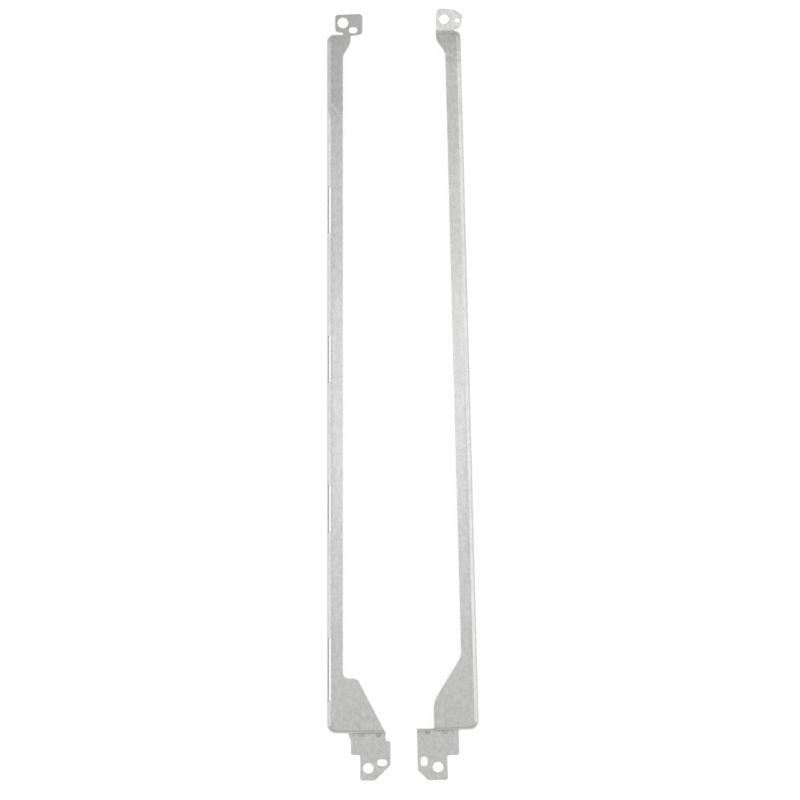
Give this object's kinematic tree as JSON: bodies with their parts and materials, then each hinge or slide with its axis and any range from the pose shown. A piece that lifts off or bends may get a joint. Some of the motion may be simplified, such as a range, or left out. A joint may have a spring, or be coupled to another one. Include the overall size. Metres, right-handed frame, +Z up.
{
  "type": "pair of laptop screen brackets",
  "caption": "Pair of long folded sheet-metal side brackets that hold a laptop's screen panel, each with a flange along its outer edge and a stepped screw tab at either end.",
  "frame": {"origin": "centre of the pair's footprint, on the surface that it lies on", "axes": "+Y from the foot tabs to the head tabs, +X from the left bracket to the right one, +Z up"},
  "size_m": [0.044, 0.2248, 0.005],
  "materials": {
    "plated_steel": "satin zinc-plated steel sheet"
  },
  "bodies": {
    "root": {"left_bracket": "plated_steel", "right_bracket": "plated_steel"}
  },
  "joints": []
}
